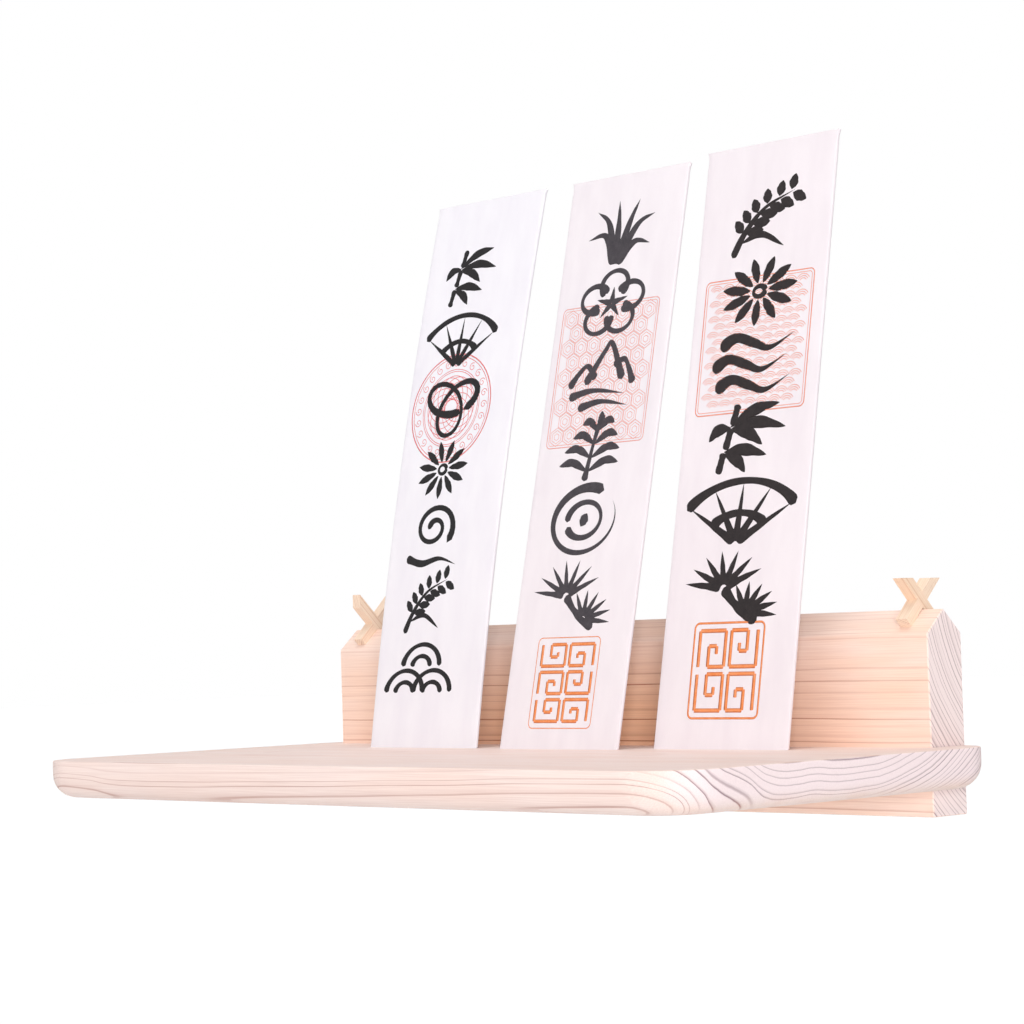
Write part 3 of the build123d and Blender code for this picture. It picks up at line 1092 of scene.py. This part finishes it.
@dataclass(frozen=True)
class CardFace:
    """The front of one card: a place is so far across it, so far up it and so far out of the paper."""

    card: "Card"
    foot: np.ndarray
    up: np.ndarray
    foot_width: float
    head_width: float
    height: float
    level_cut: float = 1.5
    swell_depth: float = 0.07

    @classmethod
    def of(cls, card: "Card") -> "CardFace":
        """Find the front of a packed card from its lowest front edge and its topmost edge.

        Args:
            card: the card that is being built.

        Returns:
            Its front.
        """
        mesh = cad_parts[f"{card.side}_card_wrap"].data
        points = np.empty(len(mesh.vertices) * 3)
        mesh.vertices.foreach_get("co", points)
        points = points.reshape(-1, 3)
        foot = points[points[:, 1] < points[:, 1].min() + 1e-5]
        head = points[points[:, 2] > points[:, 2].max() - 1e-5]
        foot_middle = (foot.min(0) + foot.max(0)) / 2
        head_middle = (head.min(0) + head.max(0)) / 2
        rise = (head_middle - foot_middle) * np.array([0, 1, 1])
        height = float(np.linalg.norm(rise))
        head_width = float(np.ptp(head[:, 0])) - MM * card.narrowing
        return cls(card, foot_middle, rise / height, float(np.ptp(foot[:, 0])), head_width, height)

    def half_width(self, up: np.ndarray) -> np.ndarray:
        """Half the card's width in millimetres, a straight taper from foot to head."""
        share = np.clip(np.asarray(up) * MM / self.height, 0, 1)
        return (self.foot_width + (self.head_width - self.foot_width) * share) / MM / 2

    def swell(self, across: np.ndarray, up: np.ndarray) -> np.ndarray:
        """How far the paper stands off its core: three slow sine swells that fade at the edges.

        Args:
            across: places across the card in millimetres.
            up: places up it.

        Returns:
            Millimetres out of the card's front.
        """
        share = np.clip(up * MM / self.height, 0, 1)
        edge = np.clip(1 - (np.abs(across) / self.half_width(up)) ** 4, 0, 1)
        edge = edge * np.clip(np.sin(np.pi * share), 0, 1) ** 0.5
        seed = self.card.seed
        wave = np.sin(0.045 * up + 0.03 * across + seed)
        wave = wave + 0.6 * np.sin(0.11 * across - 0.02 * up + 2.1 * seed)
        wave = wave + 0.4 * np.sin(0.09 * up + 0.07 * across - seed)
        return -self.swell_depth * edge * (1 + 0.5 * wave)

    def place(self, across: np.ndarray, up: np.ndarray, out: np.ndarray) -> np.ndarray:
        """Places in metres for millimetres across, up and out of the card's front.

        P = foot + (across + shift)·X + up·U + (out + swell + 4·bow·s·(1 - s))·N, where U runs up the
        card, N stands out of it to the room, s is the share of its height and the shift goes
        straight from its value at the foot to that at the head. The lowest level_cut millimetres
        reach down to the shelf, so that the foot is cut level.

        Args:
            across: millimetres from the card's middle line.
            up: millimetres from its foot.
            out: millimetres out of its front.

        Returns:
            The places, in an array with one more axis.
        """
        outward = np.array([0.0, -self.up[2], self.up[1]])
        share = up * MM / self.height
        lift = out + self.swell(across, up) + 4 * self.card.bow * share * (1 - share)
        foot_shift, head_shift = self.card.shift
        aside = foot_shift + (head_shift - foot_shift) * share
        down = (self.foot[2] / MM + out * self.up[1]) / self.up[2]
        down = down * np.clip(1 - up / self.level_cut, 0, 1)
        steps = (across + aside)[..., None] * np.array([1.0, 0, 0])
        steps = steps + (up - down)[..., None] * self.up + lift[..., None] * outward
        return self.foot + MM * steps

    def tubes(self, lines: list[np.ndarray], halves: list[np.ndarray], height: float, sides: int) -> Surface:
        """Flattened tubes that follow lines on the paper, half sunk into it.

        Each ring is an ellipse across the line: half the width to each side and the given height up and
        down. A tube closes at its ends, where it has no width.

        Args:
            lines: for each tube, rows with across and up in millimetres.
            halves: for each tube, half its width at those rows.
            height: how proud a tube stands, in millimetres.
            sides: points round a ring.

        Returns:
            The points in metres and the quads.
        """
        angle = 2 * np.pi * np.arange(sides) / sides
        parts = []
        for middle, half in zip(lines, halves):
            way = np.gradient(middle, axis=0)
            way /= np.maximum(np.linalg.norm(way, axis=1, keepdims=True), 1e-9)
            side = np.stack([-way[:, 1], way[:, 0]], axis=-1)
            reach = half[:, None, None] * np.cos(angle)[None, :, None]
            spot = middle[:, None, :] + reach * side[:, None, :]
            fading = np.minimum(1, half / max(half.max() * 0.4, 1e-6))
            proud = height * fading[:, None] * np.sin(angle)[None, :]
            points = self.place(spot[..., 0], spot[..., 1], proud).reshape(-1, 3)
            parts.append((points, ring_quads(len(middle), sides)))
        return joined(parts)


@dataclass(frozen=True)
class Card:
    """A paper-wrapped card, its column of ink ornaments and its printed seals, in millimetres.

    The marks stand about mark_x between two heights. The sheet is narrowing millimetres narrower at
    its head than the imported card, bows to the room by bow, and stands to the side by a shift at its
    foot and another at its head.
    """

    side: str
    paper: PaperFinish
    ink: InkFinish
    brush: float
    mark_size: Pair
    mark_x: float
    mark_heights: Pair
    marks: tuple[Ornament, ...]
    stamps: tuple[Stamp, ...]
    seed: float
    bow: float = 0.0
    narrowing: float = 0.0
    shift: Pair = (0.0, 0.0)
    thickness: float = 1.6
    fold_radius: float = 0.5
    ear: float = 0.55
    flap: float = 11.0
    lap_edge: float = 4.5
    layer: float = 0.28
    layer_fold: float = 0.12
    board_inset: float = 0.35
    board_depth: float = 0.3
    board_thickness: float = 1.0
    ink_height: float = 0.06
    print_height: float = 0.03
    hand_lean: float = 0.06

    @cached_property
    def face(self) -> CardFace:
        """The card's front."""
        return CardFace.of(self)

    def slab(
        self, left: np.ndarray, right: np.ndarray, up: np.ndarray, front: float, thick: np.ndarray,
        radius: float,
    ) -> Surface:
        """A thin closed slab of paper on the card.

        Every row is a flat loop: straight along the front from left to right, a half round fold, straight
        back along the rear, and another fold. A row of no thickness closes the slab.

        Args:
            left: where each row starts across the card.
            right: where it ends.
            up: how high each row lies.
            front: how far the slab's front stands out of the card's front.
            thick: each row's thickness.
            radius: how far the folds bulge at full thickness.

        Returns:
            The points in metres and the quads.
        """
        flat = np.linspace(0, 1, 30)
        still = np.zeros(len(flat))
        bend = np.linspace(-np.pi / 2, np.pi / 2, 9)[1:-1]
        share = np.concatenate([flat, np.ones(len(bend)), flat[::-1], np.zeros(len(bend))])
        bulge = np.concatenate([still, np.cos(bend), still, -np.cos(bend)])
        depth = np.concatenate([still, (1 + np.sin(bend)) / 2, still + 1, (1 - np.sin(bend)) / 2])
        fold = np.minimum(radius, thick)[:, None]
        across = left[:, None] + fold + (right - left - 2 * fold[:, 0])[:, None] * share + fold * bulge
        out = front - thick[:, None] * depth
        points = self.face.place(across, np.repeat(up[:, None], len(share), axis=1), out)
        return points.reshape(-1, 3), ring_quads(len(up), len(share))

    def patch(self, left: np.ndarray, right: np.ndarray, up: np.ndarray, front: float) -> Surface:
        """One thin layer of the sheet on the card's back, so far in front of its rear face."""
        thick = self.layer * rounded(np.minimum(up - up[0], up[-1] - up), 0.3)
        return self.slab(left, right, up, front - self.thickness, thick, self.layer_fold)

    def wrap(self) -> None:
        """The folded sheet: the closed skin, its overlap down the back and the flap at the head.

        The fold at the head is a little wider than the card, so its corners stand out as small ears.
        """
        tall = self.face.height / MM
        foot_rows = np.array([0.0, 0.02, 0.06, 0.12, 0.2])
        head_rows = tall - np.array([3.0, 2.2, 1.4, 0.8, 0.3, 0.12, 0.0])
        up = np.concatenate([foot_rows, np.linspace(2, tall - 4, 70), head_rows])
        from_head = tall - up
        thick = self.thickness * rounded(np.minimum(up, from_head), 0.22)
        ears = self.ear * np.clip(1 - from_head / 2.4, 0, 1) ** 1.4 - 0.12 * bell(from_head - 3.6, 1.4)
        half = self.face.half_width(up) + ears
        skin = self.slab(-half, half, up, 0.0, thick, self.fold_radius)
        up = np.linspace(1.5, tall - 1.0, 40)
        edge = self.lap_edge + 0.25 * np.sin(0.05 * up + self.seed)
        lap = self.patch(edge, self.face.half_width(up) - 0.9, up, 0.08)
        up = np.linspace(tall - self.flap, tall - 0.5, 14)
        half = self.face.half_width(up) - 0.8 - 0.35 * (tall - up)
        cover = self.patch(-half, half, up, -0.06)
        piece = mesh_piece(f"{self.side}_card_paper", joined([skin, lap, cover]), self.paper.build())
        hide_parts(f"{self.side}_card_wrap")

    def board(self, wood: bpy.types.Material) -> None:
        """The thin wooden board inside the sheet, which bows with it.

        Args:
            wood: the board's finish.
        """
        tall = self.face.height / MM
        end = np.array([0.0, 0.02, 0.1])
        middle = np.linspace(2, tall - 2, 50)
        up = np.concatenate([end + self.board_inset, middle, tall - self.board_inset - end[::-1]])
        thick = np.where((up < up[1]) | (up > up[-2]), 0.0, self.board_thickness)
        half = self.face.half_width(up) - self.board_inset
        slab = self.slab(-half, half, up, -self.board_depth, thick, 0.05)
        piece = mesh_piece(f"{self.side}_card_board", slab, wood)
        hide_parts(f"{self.side}_card_core")

    def column(self) -> None:
        """The ink ornaments, evenly spaced down the card, with slightly uneven edges."""
        half_size = np.array(self.mark_size) / 2
        lean = np.array([[1.0, 0.0], [self.hand_lean, 1.0]])
        lines, halves = [], []
        for mark, height in zip(self.marks, np.linspace(*self.mark_heights, len(self.marks))):
            for pull in mark.pulls(self.brush / half_size[1]):
                line = pull.line()
                share = np.linspace(0, 1, len(line))
                shake = 0.06 * np.sin(9 * share + height) + 0.04 * np.sin(21 * share + 2 * height)
                lines.append(line @ lean * half_size + [self.mark_x, height])
                halves.append(pull.half_widths(line) * half_size[1] * (1 + shake))
        tubes = self.face.tubes(lines, halves, self.ink_height, 8)
        mesh_piece(f"{self.side}_card_ink", tubes, self.ink.build())

    def print_stamp(self, stamp: Stamp) -> None:
        """One seal, printed thinner than the ink lies.

        Args:
            stamp: the seal.
        """
        pulls = stamp.pattern.lines(stamp)
        lines = [pull.line() for pull in pulls]
        halves = [pull.half_widths(line) for pull, line in zip(pulls, lines)]
        lines = [line + stamp.middle for line in lines]
        tubes = self.face.tubes(lines, halves, self.print_height, 4)
        mesh_piece(f"{self.side}_{stamp.name}", tubes, stamp.finish.build())

    def build(self, wood: bpy.types.Material) -> None:
        """Build the board, the wrap, the seals and the ink of this card.

        Args:
            wood: the board's finish.
        """
        self.board(wood)
        self.wrap()
        for stamp in self.stamps:
            self.print_stamp(stamp)
        self.column()


LEFT_CARD = Card(
    "left", LEFT_PAPER, BLACK_INK, 2.8, (31.0, 26.5), -5.5, (209.5, 33.0),
    (
        Ornament.BAMBOO, Ornament.FAN, Ornament.KNOT, Ornament.DAISY, Ornament.CLOUD, Ornament.RICE,
        Ornament.WAVES,
    ),
    (Stamp("round_stamp", (-5.5, 149.0), (49.0, 49.0), 0.6, 0.34, RED_STAMP, SealPattern.ROSETTE),),
    0.4, bow=3.6, narrowing=2.2, shift=(-0.5, -0.3),
)
MIDDLE_CARD = Card(
    "middle", MIDDLE_PAPER, GREY_INK, 2.9, (36.5, 29.0), -1.4, (219.0, 64.0),
    (Ornament.ORCHID, Ornament.PLUM, Ornament.HILLS, Ornament.FERN, Ornament.RINGS, Ornament.PINE),
    (
        Stamp("square_stamp", (-1.4, 157.5), (55.0, 61.0), 0.4, 0.28, CORAL_STAMP, SealPattern.HEXAGONS),
        Stamp("small_stamp", (-0.6, 27.0), (35.0, 37.5), 0.4, 1.5, ORANGE_STAMP, SealPattern.FRETS_NARROW),
    ),
    1.7, narrowing=0.3, shift=(-1.15, 0.3),
)
RIGHT_CARD = Card(
    "right", RIGHT_PAPER, BROWN_INK, 3.7, (39.0, 28.5), 0.0, (212.5, 64.0),
    (Ornament.RICE, Ornament.DAISY, Ornament.WATER, Ornament.BAMBOO, Ornament.FAN, Ornament.PINE),
    (
        Stamp("square_stamp", (-0.2, 161.5), (56.0, 55.5), 0.5, 0.3, WAVE_STAMP, SealPattern.SEA_WAVES),
        Stamp("small_stamp", (0.1, 30.6), (35.5, 37.5), 0.9, 1.7, ORANGE_STAMP, SealPattern.FRETS_WIDE),
    ),
    2.9, narrowing=1.0, shift=(-0.6, -0.1),
)


def dress(node: str, material: bpy.types.Material) -> None:
    """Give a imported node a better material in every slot.

    Args:
        node: the node's name.
        material: its finish.
    """
    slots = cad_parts[node].data.materials
    for index in range(len(slots)):
        slots[index] = material
    if not len(slots):
        slots.append(material)
    log.info("dressed %s", node)


def main() -> None:
    """Build the studio and dress every piece."""
    logging.basicConfig(level=logging.INFO, format="%(name)s: %(message)s")
    Studio().build()
    dress("shelf_board", SHELF_WOOD.build())
    dress("back_board", BACK_WOOD.build())
    for place, finish in (("front", FRONT_LATH_WOOD), ("rear", REAR_LATH_WOOD)):
        lath = finish.build()
        for side in ("left", "right"):
            dress(f"{side}_{place}_lath", lath)
    core = CORE_WOOD.build()
    for card in (LEFT_CARD, MIDDLE_CARD, RIGHT_CARD):
        card.build(core)
    steel = SCREW_STEEL.build()
    for side in ("left", "middle", "right"):
        dress(f"{side}_shelf_screw", steel)


if __name__ == "__main__":
    main()
